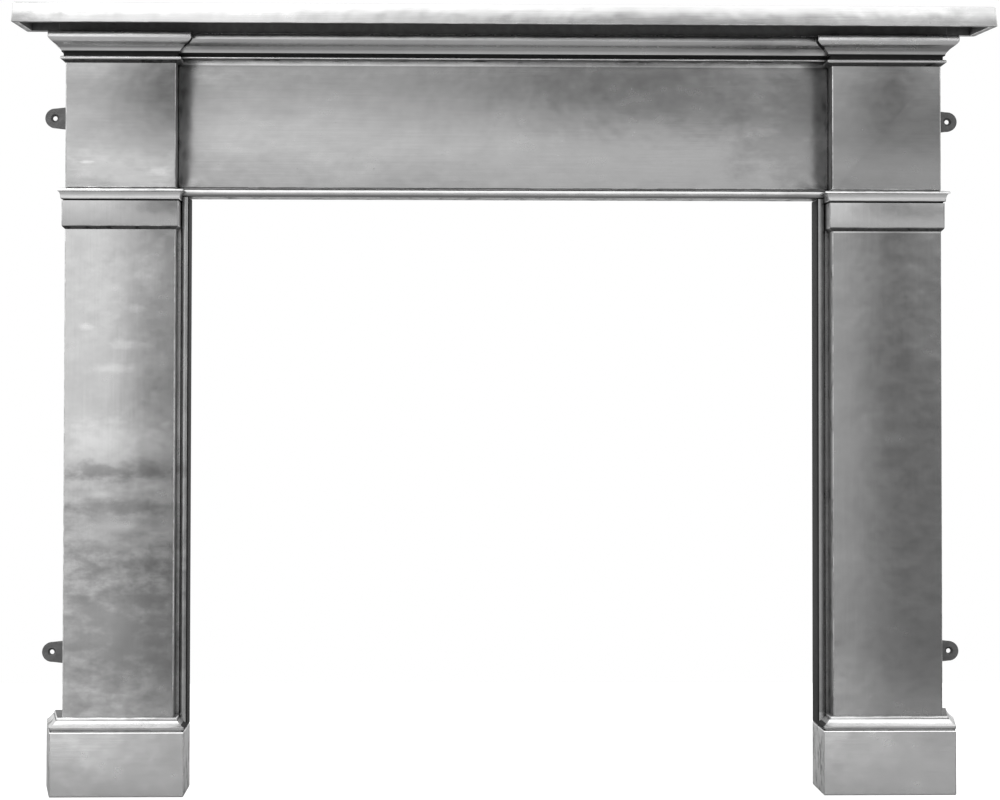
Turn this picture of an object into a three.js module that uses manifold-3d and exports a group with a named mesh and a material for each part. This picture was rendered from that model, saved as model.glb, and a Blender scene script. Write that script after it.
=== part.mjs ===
// A cast iron fireplace surround: two hollow pilaster legs on plinth blocks, an end block on each
// leg, a frieze between the end blocks and a shelf on top, bolted together from behind and held
// to the wall by four lugs.
//
// Millimetres, +Z up. The origin is on the floor, on the centre line, halfway between the wall
// and the front of the shelf. The front of the surround looks along -Y and its back, the wall
// plane, lies at +Y. Depths are measured forwards from that wall plane.
import * as THREE from "three";
import { mergeVertices } from "three/addons/utils/BufferGeometryUtils.js";
import Module from "manifold-3d";

const wasm = await Module();
wasm.setup();

// ---------------------------------------------------------------- driving dimensions

// Castings
const WALL = 6; // thickness of every casting
const JOINT_GAP = 0.3; // clearance where two castings or fasteners meet
const CURVE_STEPS = 9; // straight steps in each curved stretch of a moulding
const OVERLAP = 1; // how far solids that are joined, or cut, run into or past each other
const DRILL_LENGTH = 30; // enough to go through a casting on both sides of its face
const FLAT_TURN = 1e-6; // cross product below which an outline runs straight on, in mm2

// Opening and the frame moulding that runs round it
const OPENING_WIDTH = 892;
const OPENING_HEIGHT = 838;
const FRAME_WIDTH = 16; // from the edge of the opening to the side of the pilaster
const FRAME_DEPTH = 54; // how far the edge of the opening stands from the wall
const BEAD_WIDTH = 11.5;
const BEAD_RISE = 4; // how far the bead stands forwards of the edge of the opening
const BEAD_QUIRK = 1.5; // the groove beside the bead

// Pilasters
const PILASTER_WIDTH = 154;
const PILASTER_DEPTH = 98;
const PLINTH_STEP = 16; // how far the plinth stands out from the pilaster
const PLINTH_HEIGHT = 90;
const PLINTH_EDGE = 2; // rounding along the top and bottom of the plinth
const BASE_SPLAY = 0.155; // how fast the outer side of plinth and base spreads towards the wall
const FOOT_THICKNESS = 12; // the foot of the leg, which its plinth is bolted to
const BASE_HEIGHT = 19; // base moulding, above the plinth
const BASE_QUIRK_HEIGHT = 2;
const BASE_QUIRK_DEPTH = 3;
const BASE_EDGE = 4; // upright edge of the base moulding
const BASE_FILLET_OUT = 5.5; // projection of the small step at the foot of the shaft
const BASE_FILLET_HEIGHT = 4.5;
const BASE_STEP = 1; // projection of the slope of the base moulding below that step
const BASE_HOLLOW = 1; // how far the slope is hollowed
const IMPOST_RISE = 10; // top of the impost above the head of the opening
const IMPOST_HEIGHT = 40; // the plain band of the impost
const IMPOST_OUT = 4.5;
const IMPOST_CAP_HEIGHT = 18.5;
const IMPOST_WASH = 2.5; // fall of the sloping top of the cap
const IMPOST_CAP_OUT = 11.5;
const IMPOST_NOSE = 2.5; // height of the upright edge of the cap
const IMPOST_COVE_STEP = 1.5; // projection at the foot of the cap's hollow
const IMPOST_QUIRK = 2; // height and depth of the groove between the cap and the band
const BLOCK_HEIGHT = 175; // plain face of the end block, between impost and cornice

// Cornice, which carries the shelf and breaks forward over the pilasters
const CORNICE_HEIGHT = 42.5;
const CORNICE_OUT = 23;
const CORNICE_BREAK = 21; // how far the frieze's cornice lies behind the pilaster's
const CORNICE_NECK = 3; // projection at the foot of the ogee
const ASTRAGAL_OUT = 7.5;
const ASTRAGAL_CHAMFER = 4.5;
const ASTRAGAL_NOSE = 1.5; // swell of the rounded part
const ASTRAGAL_HEIGHT = 4.5; // rounded part, above the chamfer
const CORNICE_QUIRK = 6; // recess between the astragal and the ogee
const OGEE_HEIGHT = 20;
const OGEE_STEP = 2.5; // projection at the foot of the ogee
const OGEE_BULGE = 6.5; // how far each half of the ogee runs upright before it turns over
const FRIEZE_DEPTH = 58; // face of the frieze panel
const SOFFIT_RISE = 8; // soffit of the frieze's cornice above the top of the pilaster block
const SOFFIT_FILLET = 3; // height of the thin fillet at the front of the soffit

// Shelf
const SHELF_OVERHANG = 44; // in front of the cornice
const SHELF_END_OVERHANG = 45; // past the cornice at each end
const SHELF_FRONT_LIP = 28;
const SHELF_REAR_LIP = 22;
const SHELF_BATTER = 2.5; // how far the top edge leans in from the bottom one
const SHELF_EDGE_RADIUS = 2.5;
const SHELF_BED_HEIGHT = 12.5; // the bed under the shelf holds its rear lip this far off the cornice
const SHELF_BED_INSET = 12; // how far the bed lies behind the face of the frieze's cornice

// Bolts: M8 between the castings, M6 countersunk screws at the lugs
const BOLT_RADIUS = 4;
const BOLT_HEAD_RADIUS = 7.5; // across corners
const BOLT_HEAD_HEIGHT = 5.3;
const NUT_HEIGHT = 6.5;
const BOLT_TAIL = 3; // shank past its nut, and drilling past its tip
const BOLT_CHAMFER = 1;
const WASHER_RADIUS = 8.5;
const WASHER_THICKNESS = 1.6;
const BOSS_RADIUS = 11;
const TAPPED_DEPTH = 11;
const BOLT_SIDES = 16;
const HEX_SIDES = 6;
const FRIEZE_BOLT_DEPTH = 28; // frieze bolts, from the wall
const FRIEZE_BOLT_INSET = 50; // frieze bolts, from the head of the opening and the top
const FLANGE_BOLT_SPACING = 90; // the bolts at the foot and the head of each leg
const FLANGE_BOLT_DEPTH = 52;
const SHELF_BOLT_DEPTH = 62;
const FRIEZE_SHELF_BOLT_X = 250;

// Wall lugs
const LUG_THICKNESS = 6;
const LUG_OUT = 40; // past the side of the leg
const LUG_END_RADIUS = 14;
const LUG_ROOT_HEIGHT = 34;
const LUG_TAIL = 30; // inside the leg, behind its pad
const LUG_HOLE_RADIUS = 3.3;
const LUG_SINK_RADIUS = 6;
const LUG_SINK_DEPTH = 2.7;
const LUG_TOP_RISE = 105; // upper lug, above the foot of the end block
const LUG_LOW_RISE = 101; // lower lug, above the foot of the leg
const LUG_SCREW_RADIUS = 3;
const LUG_SCREW_HEAD_RADIUS = 5.8;
const LUG_SCREW_TAIL = 1.5;
const LUG_NUT_RADIUS = 5.7;
const LUG_NUT_HEIGHT = 5;
const PAD_MARGIN = 5; // the pad is taller than the lug by this much each way
const EDGE_MARGIN = 12; // from a lug's screw to the inner end of the lug

// ---------------------------------------------------------------- worked out from them

const PILASTER_INNER = OPENING_WIDTH / 2 + FRAME_WIDTH;
const PILASTER_OUTER = PILASTER_INNER + PILASTER_WIDTH;
const PILASTER_CENTRE = (PILASTER_INNER + PILASTER_OUTER) / 2;
const PLINTH_DEPTH = PILASTER_DEPTH + PLINTH_STEP;
const CORNICE_DEPTH = PILASTER_DEPTH + CORNICE_OUT;
const SHELF_DEPTH = CORNICE_DEPTH + SHELF_OVERHANG;
const SHELF_HALF = PILASTER_OUTER + CORNICE_OUT + SHELF_END_OVERHANG;
const WALL_FACE = SHELF_DEPTH / 2;

const LEG_BOTTOM = PLINTH_HEIGHT + JOINT_GAP;
const SHAFT_BOTTOM = PLINTH_HEIGHT + BASE_HEIGHT;
const LEG_TOP = OPENING_HEIGHT + IMPOST_RISE;
const BLOCK_BOTTOM = LEG_TOP + JOINT_GAP;
const BLOCK_TOP = LEG_TOP + BLOCK_HEIGHT;
const SHELF_SEAT = BLOCK_TOP + CORNICE_HEIGHT;
const CORNICE_TOP = SHELF_SEAT - JOINT_GAP;
const SHELF_TOP = SHELF_SEAT + SHELF_BED_HEIGHT + SHELF_REAR_LIP;
const FRIEZE_END = PILASTER_INNER - JOINT_GAP;
const FRIEZE_SHIFT = PILASTER_DEPTH - CORNICE_BREAK; // depth of the line its cornice projects from
const CORNICE_HOLLOW = CORNICE_OUT - WALL;
const ASTRAGAL_TOP = ASTRAGAL_CHAMFER + ASTRAGAL_HEIGHT;
const OGEE_BOTTOM = ASTRAGAL_TOP + CORNICE_QUIRK;
const OGEE_TOP = OGEE_BOTTOM + OGEE_HEIGHT;
const BOLT_HOLE_RADIUS = BOLT_RADIUS + JOINT_GAP;
const LUG_SCREW_HOLE_RADIUS = LUG_SCREW_RADIUS + JOINT_GAP;
const LUG_ROOT = PILASTER_OUTER - WALL - LUG_TAIL; // inner end of a lug and of its pad
const LUG_SCREW_X = LUG_ROOT + EDGE_MARGIN;
const LUG_TOP_Z = BLOCK_BOTTOM + LUG_TOP_RISE;
const LUG_LOW_Z = LEG_BOTTOM + LUG_LOW_RISE;

const fromWall = (depth) => WALL_FACE - depth;

// ---------------------------------------------------------------- solids

// A closed mesh as a solid that can be joined and cut.
function solid(geometry) {
  const bare = geometry.clone();
  bare.deleteAttribute("normal");
  bare.deleteAttribute("uv");
  const merged = mergeVertices(bare, 1e-4);
  return new wasm.Manifold(
    new wasm.Mesh({
      numProp: 3,
      vertProperties: new Float32Array(merged.attributes.position.array),
      triVerts: new Uint32Array(merged.index.array),
    }),
  );
}

// A solid as geometry again, with one flat normal per face.
function geometryOf(made) {
  const mesh = made.getMesh();
  const positions = new Float32Array(mesh.numVert * 3);
  for (let i = 0; i < mesh.numVert; i += 1) {
    const start = i * mesh.numProp;
    positions.set(mesh.vertProperties.subarray(start, start + 3), i * 3);
  }
  const indexed = new THREE.BufferGeometry();
  indexed.setAttribute("position", new THREE.BufferAttribute(positions, 3));
  indexed.setIndex(new THREE.BufferAttribute(new Uint32Array(mesh.triVerts), 1));
  const flat = indexed.toNonIndexed();
  flat.computeVertexNormals();
  return flat;
}

// A closed body through rings of equally many points, each ring a list of [x, y, z].
function ringBody(rings, cap) {
  const count = rings[0].length;
  const index = [];
  for (let r = 0; r + 1 < rings.length; r += 1) {
    for (let i = 0; i < count; i += 1) {
      const next = (i + 1) % count;
      const [a, b] = [r * count + i, r * count + next];
      const [c, d] = [a + count, b + count];
      index.push(a, b, d, a, d, c);
    }
  }
  const last = (rings.length - 1) * count;
  for (const [a, b, c] of cap) {
    index.push(a, c, b, last + a, last + b, last + c);
  }
  const body = new THREE.BufferGeometry();
  body.setAttribute("position", new THREE.Float32BufferAttribute(rings.flat(2), 3));
  body.setIndex(index);
  const made = solid(body);
  if (made.volume() > 0) return made;
  const turned = [];
  for (let i = 0; i < index.length; i += 3) {
    turned.push(index[i], index[i + 2], index[i + 1]);
  }
  body.setIndex(turned);
  return solid(body);
}

// An outline run anticlockwise, without the points in the middle of its straight stretches.
function cornersOf(outline) {
  const corners = outline.filter((here, i) => {
    const before = outline.at(i - 1);
    const after = outline[(i + 1) % outline.length];
    const turn = here.clone().sub(before).cross(after.clone().sub(here));
    return Math.abs(turn) > FLAT_TURN;
  });
  return THREE.ShapeUtils.isClockWise(corners) ? corners.reverse() : corners;
}

const capOf = (outline) => THREE.ShapeUtils.triangulateShape(outline, []);
const QUAD_CAP = [[0, 1, 2], [0, 2, 3]];

// An outline of (projection, height) points swept along plan corners [x, depth], mitred at each
// and cut off parallel to the wall at both ends. It projects to the left of the way the path runs.
function mitredSweep(points, corners) {
  const outline = cornersOf(points);
  const plan = corners.map(([x, depth]) => new THREE.Vector2(x, fromWall(depth)));
  const normals = plan.slice(1).map((end, i) => {
    const way = end.clone().sub(plan[i]).normalize();
    return new THREE.Vector2(-way.y, way.x);
  });
  const rings = plan.map((corner, i) => {
    const [before, after] = [normals[i - 1], normals[i]];
    const mitre = before && after
      ? before.clone().add(after).divideScalar(1 + before.dot(after))
      : new THREE.Vector2(1 / (before ?? after).x, 0);
    return outline.map(({ x: out, y: z }) => [corner.x + mitre.x * out, corner.y + mitre.y * out, z]);
  });
  return ringBody(rings, capOf(outline));
}

// A plan outline of (x, depth) points standing from one height to another.
function upright(points, low, high) {
  const outline = cornersOf(points);
  const ring = (z) => outline.map(({ x, y: depth }) => [x, fromWall(depth), z]);
  return ringBody([ring(low), ring(high)], capOf(outline));
}

// A section of (depth, height) points running along X.
function along(points, left, right) {
  const section = cornersOf(points);
  const ring = (x) => section.map(({ x: depth, y: z }) => [x, fromWall(depth), z]);
  return ringBody([ring(left), ring(right)], capOf(section));
}

// A block from its limits in X, in depth from the wall, and in Z.
function block([x0, x1], [near, far], [z0, z1]) {
  const box = new THREE.BoxGeometry(x1 - x0, far - near, z1 - z0);
  box.translate((x0 + x1) / 2, fromWall((near + far) / 2), (z0 + z1) / 2);
  return solid(box);
}

// A round bar centred at [x, depth, z], along the axis "x", "y" or "z".
function bar(axis, radius, length, [x, depth, z], radiusEnd = radius, sides = BOLT_SIDES) {
  const cylinder = new THREE.CylinderGeometry(radiusEnd, radius, length, sides);
  if (axis === "x") cylinder.rotateZ(-Math.PI / 2);
  if (axis === "z") cylinder.rotateX(Math.PI / 2);
  cylinder.translate(x, fromWall(depth), z);
  return solid(cylinder);
}

const join = (solids) => solids.reduce((sum, next) => sum.add(next));
const cut = (body, tools) => tools.reduce((rest, tool) => rest.subtract(tool), body);
const point = (x, y) => new THREE.Vector2(x, y);

// ---------------------------------------------------------------- mouldings

// The cornice over a block whose top is at z, without the wall behind it: astragal, quirk, ogee
// and fascia. Points run upwards as (projection, height).
function corniceOutline(z, top) {
  const outline = new THREE.Path();
  outline.moveTo(0, z);
  outline.lineTo(ASTRAGAL_OUT - ASTRAGAL_NOSE, z + ASTRAGAL_CHAMFER);
  outline.quadraticCurveTo(
    ASTRAGAL_OUT + ASTRAGAL_NOSE, z + ASTRAGAL_CHAMFER + ASTRAGAL_HEIGHT / 2,
    ASTRAGAL_OUT - ASTRAGAL_NOSE, z + ASTRAGAL_TOP,
  );
  outline.lineTo(CORNICE_NECK, z + ASTRAGAL_TOP);
  outline.lineTo(CORNICE_NECK, z + OGEE_BOTTOM);
  return [...outline.getPoints(CURVE_STEPS), ...ogee(z, 0), point(CORNICE_OUT, top)];
}

// The ogee alone, moved out by a shift: hollow below, round above.
function ogee(z, shift) {
  const middle = (CORNICE_NECK + CORNICE_OUT) / 2;
  const half = z + (OGEE_BOTTOM + OGEE_TOP) / 2;
  const foot = shift + CORNICE_NECK + OGEE_STEP;
  const crest = shift + CORNICE_OUT;
  const curve = new THREE.Path();
  curve.moveTo(foot, z + OGEE_BOTTOM);
  curve.quadraticCurveTo(foot, half - OGEE_BULGE, shift + middle, half);
  curve.quadraticCurveTo(crest, half + OGEE_BULGE, crest, z + OGEE_TOP);
  return curve.getPoints(CURVE_STEPS);
}

function baseOutline() {
  const edgeBottom = PLINTH_HEIGHT + BASE_QUIRK_HEIGHT;
  const edgeTop = edgeBottom + BASE_EDGE;
  const filletBottom = SHAFT_BOTTOM - BASE_FILLET_HEIGHT;
  const outline = new THREE.Path();
  outline.moveTo(PLINTH_STEP - BASE_QUIRK_DEPTH, LEG_BOTTOM);
  outline.lineTo(PLINTH_STEP - BASE_QUIRK_DEPTH, edgeBottom);
  outline.lineTo(PLINTH_STEP, edgeBottom);
  outline.lineTo(PLINTH_STEP, edgeTop);
  outline.quadraticCurveTo(
    (PLINTH_STEP + BASE_FILLET_OUT) / 2, (edgeTop + filletBottom) / 2 - BASE_HOLLOW,
    BASE_FILLET_OUT + BASE_STEP, filletBottom,
  );
  outline.lineTo(BASE_FILLET_OUT, filletBottom);
  outline.lineTo(BASE_FILLET_OUT, SHAFT_BOTTOM);
  return outline.getPoints(CURVE_STEPS);
}

function impostOutline() {
  const capBottom = LEG_TOP - IMPOST_CAP_HEIGHT;
  const washBottom = LEG_TOP - IMPOST_WASH;
  const outline = new THREE.Path();
  outline.moveTo(0, capBottom - IMPOST_HEIGHT);
  outline.lineTo(IMPOST_OUT, capBottom - IMPOST_HEIGHT + IMPOST_OUT);
  outline.lineTo(IMPOST_OUT, capBottom);
  outline.lineTo(IMPOST_OUT - IMPOST_QUIRK, capBottom);
  outline.lineTo(IMPOST_OUT - IMPOST_QUIRK, capBottom + IMPOST_QUIRK);
  outline.lineTo(IMPOST_OUT + IMPOST_COVE_STEP, capBottom + IMPOST_QUIRK);
  outline.quadraticCurveTo(
    IMPOST_OUT + IMPOST_COVE_STEP, washBottom - IMPOST_NOSE,
    IMPOST_CAP_OUT, washBottom - IMPOST_NOSE,
  );
  outline.lineTo(IMPOST_CAP_OUT, washBottom);
  outline.lineTo(0, LEG_TOP);
  return outline.getPoints(CURVE_STEPS);
}

// The bead round the opening, as (distance from the opening's edge, depth) points.
function beadOutline() {
  const crest = FRAME_DEPTH + BEAD_RISE;
  const outline = new THREE.Path();
  outline.moveTo(0, FRAME_DEPTH);
  outline.quadraticCurveTo(0, crest, BEAD_WIDTH / 2, crest);
  outline.quadraticCurveTo(BEAD_WIDTH, crest, BEAD_WIDTH, FRAME_DEPTH);
  outline.lineTo(BEAD_WIDTH + BEAD_QUIRK, FRAME_DEPTH);
  return outline.getPoints(CURVE_STEPS);
}

// The face of the frieze from its foot to its top, as (depth, height) points, moved out by a
// clearance when it is used to cut the leg and the end block.
function friezeFace(clearance, top) {
  const rise = (x) => (x > BEAD_WIDTH / 2 && x <= BEAD_WIDTH ? x + clearance : x - clearance);
  const bead = beadOutline().map(({ x, y }) => point(y + clearance, OPENING_HEIGHT + rise(x)));
  const front = (out) => FRIEZE_SHIFT + out + clearance;
  const panelBottom = OPENING_HEIGHT + BEAD_WIDTH + BEAD_QUIRK - clearance;
  const soffit = BLOCK_TOP + SOFFIT_RISE - clearance;
  const filletTop = BLOCK_TOP + SOFFIT_RISE + SOFFIT_FILLET + clearance;
  return [
    ...bead,
    point(FRIEZE_DEPTH + clearance, panelBottom),
    point(FRIEZE_DEPTH + clearance, soffit),
    point(front(ASTRAGAL_OUT), soffit),
    point(front(ASTRAGAL_OUT), filletTop),
    point(front(CORNICE_NECK), filletTop),
    point(front(CORNICE_NECK), BLOCK_TOP + OGEE_BOTTOM),
    ...ogee(BLOCK_TOP, FRIEZE_SHIFT + clearance),
    point(front(CORNICE_OUT), top),
  ];
}

// ---------------------------------------------------------------- castings

function makeFrieze() {
  const panelBack = FRIEZE_DEPTH - WALL;
  const corniceBack = FRIEZE_SHIFT + CORNICE_HOLLOW;
  const returnTop = OPENING_HEIGHT + WALL;
  const flangeBottom = CORNICE_TOP - WALL;
  const section = [
    point(0, OPENING_HEIGHT),
    ...friezeFace(0, CORNICE_TOP),
    point(0, CORNICE_TOP),
    point(0, flangeBottom),
    point(corniceBack, flangeBottom),
    point(corniceBack, BLOCK_TOP + OGEE_TOP),
    point(panelBack, BLOCK_TOP + SOFFIT_RISE + WALL),
    point(panelBack, returnTop),
    point(0, returnTop),
  ];
  const casting = along(section, -FRIEZE_END, FRIEZE_END);
  const ends = [-1, 1].map((side) => {
    const limits = [side * FRIEZE_END, side * (FRIEZE_END - WALL)].sort((a, b) => a - b);
    return block(limits, [0, panelBack + OVERLAP], [OPENING_HEIGHT, CORNICE_TOP]);
  });
  const holes = [];
  for (const side of [-1, 1]) {
    for (const z of friezeBoltHeights()) {
      holes.push(bar("x", BOLT_HOLE_RADIUS, DRILL_LENGTH, [side * FRIEZE_END, FRIEZE_BOLT_DEPTH, z]));
    }
    holes.push(bar("z", BOLT_HOLE_RADIUS, DRILL_LENGTH,
      [side * FRIEZE_SHELF_BOLT_X, SHELF_BOLT_DEPTH, CORNICE_TOP]));
  }
  return cut(join([casting, ...ends]), holes);
}

function friezeBoltHeights() {
  return [OPENING_HEIGHT + FRIEZE_BOLT_INSET, CORNICE_TOP - FRIEZE_BOLT_INSET];
}

// The shelf: an upturned tray with a lip all round. Inside the lip a bed frame, open to the
// wall, stands on the cornice, with bosses for the bolts.
function makeShelf() {
  const lipRing = (inset, z, slope) => {
    const corner = (x, depth) => [x, fromWall(depth), z + slope * (1 - depth / SHELF_DEPTH)];
    return [
      corner(-SHELF_HALF + inset, 0),
      corner(-SHELF_HALF + inset, SHELF_DEPTH - inset),
      corner(SHELF_HALF - inset, SHELF_DEPTH - inset),
      corner(SHELF_HALF - inset, 0),
    ];
  };
  const rings = [lipRing(0, SHELF_TOP - SHELF_FRONT_LIP, SHELF_FRONT_LIP - SHELF_REAR_LIP)];
  for (let i = 0; i <= CURVE_STEPS; i += 1) {
    const turn = (i / CURVE_STEPS) * (Math.PI / 2);
    const inset = SHELF_BATTER + SHELF_EDGE_RADIUS * (1 - Math.cos(turn));
    rings.push(lipRing(inset, SHELF_TOP - SHELF_EDGE_RADIUS * (1 - Math.sin(turn)), 0));
  }
  const inner = SHELF_HALF - SHELF_BATTER - WALL;
  const hollowTop = SHELF_TOP - WALL;
  const hollow = block([-inner, inner], [WALL, SHELF_DEPTH - SHELF_BATTER - WALL],
    [SHELF_TOP - SHELF_FRONT_LIP - OVERLAP, hollowTop]);
  const tray = ringBody(rings, QUAD_CAP).subtract(hollow);
  const bedHalf = PILASTER_OUTER + CORNICE_OUT - SHELF_BED_INSET;
  const bedDepth = FRIEZE_SHIFT + CORNICE_OUT - SHELF_BED_INSET;
  const bed = block([-bedHalf, bedHalf], [0, bedDepth], [SHELF_SEAT, hollowTop + OVERLAP]);
  const bedHollow = block([-bedHalf + WALL, bedHalf - WALL], [-OVERLAP, bedDepth - WALL],
    [SHELF_SEAT - OVERLAP, hollowTop]);
  const bosses = [];
  const tapped = [];
  for (const x of shelfBoltPlaces()) {
    const height = hollowTop + OVERLAP - SHELF_SEAT;
    bosses.push(bar("z", BOSS_RADIUS, height, [x, SHELF_BOLT_DEPTH, SHELF_SEAT + height / 2]));
    tapped.push(bar("z", BOLT_HOLE_RADIUS, TAPPED_DEPTH * 2, [x, SHELF_BOLT_DEPTH, SHELF_SEAT]));
  }
  return cut(join([tray, bed.subtract(bedHollow), ...bosses]), tapped);
}

function shelfBoltPlaces() {
  return [-PILASTER_CENTRE, -FRIEZE_SHELF_BOLT_X, FRIEZE_SHELF_BOLT_X, PILASTER_CENTRE];
}

// The plan of a pilaster's faces, from the wall on its outer side round to its inner side.
const pilasterPlan = () => [
  [PILASTER_OUTER, 0],
  [PILASTER_OUTER, PILASTER_DEPTH],
  [PILASTER_INNER, PILASTER_DEPTH],
  [PILASTER_INNER, FRAME_DEPTH - WALL],
];

// The right leg: a hollow pilaster from base moulding to impost, with the strip of frame
// moulding beside the opening, a flange at its foot and its head, and a pad for the lower lug.
function makeLeg() {
  const outline = [
    point(0, SHAFT_BOTTOM - OVERLAP),
    ...impostOutline(),
    point(-WALL, LEG_TOP),
    point(-WALL, SHAFT_BOTTOM - OVERLAP),
  ];
  const shell = mitredSweep(outline, pilasterPlan());
  const base = cut(makeBase(), [
    block([PILASTER_INNER + WALL, PILASTER_OUTER - WALL], [-OVERLAP, PILASTER_DEPTH - WALL],
      [LEG_BOTTOM + FOOT_THICKNESS, SHAFT_BOTTOM + OVERLAP]),
  ]);
  const innerWall = block([PILASTER_INNER, PILASTER_INNER + WALL], [0, FRAME_DEPTH],
    [OPENING_HEIGHT - WALL, LEG_TOP]);
  const head = block([PILASTER_INNER, PILASTER_OUTER], [0, PILASTER_DEPTH], [LEG_TOP - WALL, LEG_TOP]);
  const body = join([shell, base, makeStrip(), innerWall, head, lugPad(LUG_LOW_Z)]);
  return cut(body, [
    friezeSpace(),
    ...flangeBoltHoles(LEG_BOTTOM),
    ...flangeBoltHoles(LEG_TOP),
    ...lugHoles(LUG_LOW_Z),
  ]);
}

// The right end block: it stands on the leg, carries its stretch of the cornice, holds the end
// of the frieze, and has a pad for the upper lug.
function makeBlock() {
  const outline = [
    point(0, BLOCK_BOTTOM),
    ...corniceOutline(BLOCK_TOP, CORNICE_TOP),
    point(CORNICE_HOLLOW, CORNICE_TOP),
    point(CORNICE_HOLLOW, BLOCK_TOP + OGEE_TOP),
    point(-WALL, BLOCK_TOP + OGEE_BOTTOM),
    point(-WALL, BLOCK_BOTTOM),
  ];
  const shell = mitredSweep(outline, pilasterPlan());
  const innerWall = block([PILASTER_INNER, PILASTER_INNER + WALL], [0, PILASTER_DEPTH],
    [BLOCK_BOTTOM, CORNICE_TOP]);
  const foot = block([PILASTER_INNER, PILASTER_OUTER], [0, PILASTER_DEPTH],
    [BLOCK_BOTTOM, BLOCK_BOTTOM + WALL]);
  const head = block([PILASTER_INNER, PILASTER_OUTER + CORNICE_HOLLOW + OVERLAP],
    [0, PILASTER_DEPTH + CORNICE_HOLLOW + OVERLAP], [CORNICE_TOP - WALL, CORNICE_TOP]);
  const body = join([shell, innerWall, foot, head, lugPad(LUG_TOP_Z)]);
  return cut(body, [
    friezeSpace(),
    ...friezeBoltHeights().map((z) =>
      bar("x", BOLT_HOLE_RADIUS, DRILL_LENGTH, [PILASTER_INNER, FRIEZE_BOLT_DEPTH, z])),
    bar("z", BOLT_HOLE_RADIUS, DRILL_LENGTH, [PILASTER_CENTRE, SHELF_BOLT_DEPTH, CORNICE_TOP]),
    ...flangeBoltHoles(BLOCK_BOTTOM),
    ...lugHoles(LUG_TOP_Z),
  ]);
}

// Plan corners of the plinth and base at a projection from the pilaster's faces. The outer side
// is splayed, and its front corner stands as far out as the other faces do at the plinth.
function splayedPlan(out, inner) {
  const slant = Math.hypot(1, BASE_SPLAY);
  const corner = PILASTER_OUTER + PLINTH_STEP * (1 + BASE_SPLAY - slant) + out * (slant - BASE_SPLAY);
  const front = PILASTER_DEPTH + out;
  return [
    point(corner + BASE_SPLAY * front, 0),
    point(corner, front),
    point(inner - out, front),
    point(inner - out, 0),
  ];
}

// The solid that the base moulding is cut from, one plan over the other.
function makeBase() {
  const corners = [...baseOutline(), point(0, SHAFT_BOTTOM)];
  const rings = corners.map(({ x: out, y: z }) =>
    splayedPlan(out, PILASTER_INNER).map(({ x, y: depth }) => [x, fromWall(depth), z]));
  return ringBody(rings, QUAD_CAP);
}

// The strip of frame moulding on the leg, an L in plan: the bead in front, the edge behind it.
function makeStrip() {
  const edge = OPENING_WIDTH / 2;
  const bead = beadOutline().map(({ x, y }) => point(edge + x, y));
  const plan = [
    point(edge, 0),
    ...bead,
    point(PILASTER_INNER + OVERLAP, FRAME_DEPTH),
    point(PILASTER_INNER + OVERLAP, FRAME_DEPTH - WALL),
    point(edge + WALL, FRAME_DEPTH - WALL),
    point(edge + WALL, 0),
  ];
  return upright(plan, LEG_BOTTOM, OPENING_HEIGHT - JOINT_GAP);
}

// The pad that a lug at height z is screwed to.
function lugPad(z) {
  const half = LUG_ROOT_HEIGHT / 2 + PAD_MARGIN;
  const seat = LUG_THICKNESS + JOINT_GAP;
  return block([LUG_ROOT, PILASTER_OUTER - OVERLAP], [seat, seat + WALL], [z - half, z + half]);
}

// The space that the frieze takes beside the leg and the end block, with its clearance.
function friezeSpace() {
  const section = [
    point(-OVERLAP, OPENING_HEIGHT - JOINT_GAP),
    point(FRAME_DEPTH, OPENING_HEIGHT - JOINT_GAP),
    ...friezeFace(JOINT_GAP, CORNICE_TOP + OVERLAP),
    point(-OVERLAP, CORNICE_TOP + OVERLAP),
  ];
  return along(section, 0, PILASTER_INNER);
}

// What is cut for a lug at height z: the screw hole in its pad, and the notch it passes through.
function lugHoles(z) {
  const half = LUG_ROOT_HEIGHT / 2 + JOINT_GAP;
  return [
    bar("y", LUG_SCREW_HOLE_RADIUS, DRILL_LENGTH, [LUG_SCREW_X, LUG_THICKNESS, z]),
    block([PILASTER_OUTER - WALL - OVERLAP, PILASTER_OUTER + OVERLAP],
      [-OVERLAP, LUG_THICKNESS + JOINT_GAP], [z - half, z + half]),
  ];
}

const flangeBoltPlaces = () =>
  [-1, 1].map((side) => PILASTER_CENTRE + (side * FLANGE_BOLT_SPACING) / 2);

const flangeBoltHoles = (z) => flangeBoltPlaces().map((x) =>
  bar("z", BOLT_HOLE_RADIUS, DRILL_LENGTH, [x, FLANGE_BOLT_DEPTH, z]));

// The right plinth block, open at the back and at the bottom.
function makePlinth() {
  const outline = new THREE.Path();
  outline.moveTo(-WALL, 0);
  outline.lineTo(-PLINTH_EDGE, 0);
  outline.quadraticCurveTo(0, 0, 0, PLINTH_EDGE);
  outline.lineTo(0, PLINTH_HEIGHT - PLINTH_EDGE);
  outline.quadraticCurveTo(0, PLINTH_HEIGHT, -PLINTH_EDGE, PLINTH_HEIGHT);
  outline.lineTo(-WALL, PLINTH_HEIGHT);
  const inner = OPENING_WIDTH / 2 + PLINTH_STEP;
  const corners = (out) => splayedPlan(out, inner).map(({ x, y }) => [x, y]);
  const walls = mitredSweep(outline.getPoints(CURVE_STEPS), corners(PLINTH_STEP));
  const flange = upright(splayedPlan(PLINTH_STEP - PLINTH_EDGE, inner),
    PLINTH_HEIGHT - WALL, PLINTH_HEIGHT);
  return cut(join([walls, flange]), flangeBoltHoles(PLINTH_HEIGHT));
}

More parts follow.
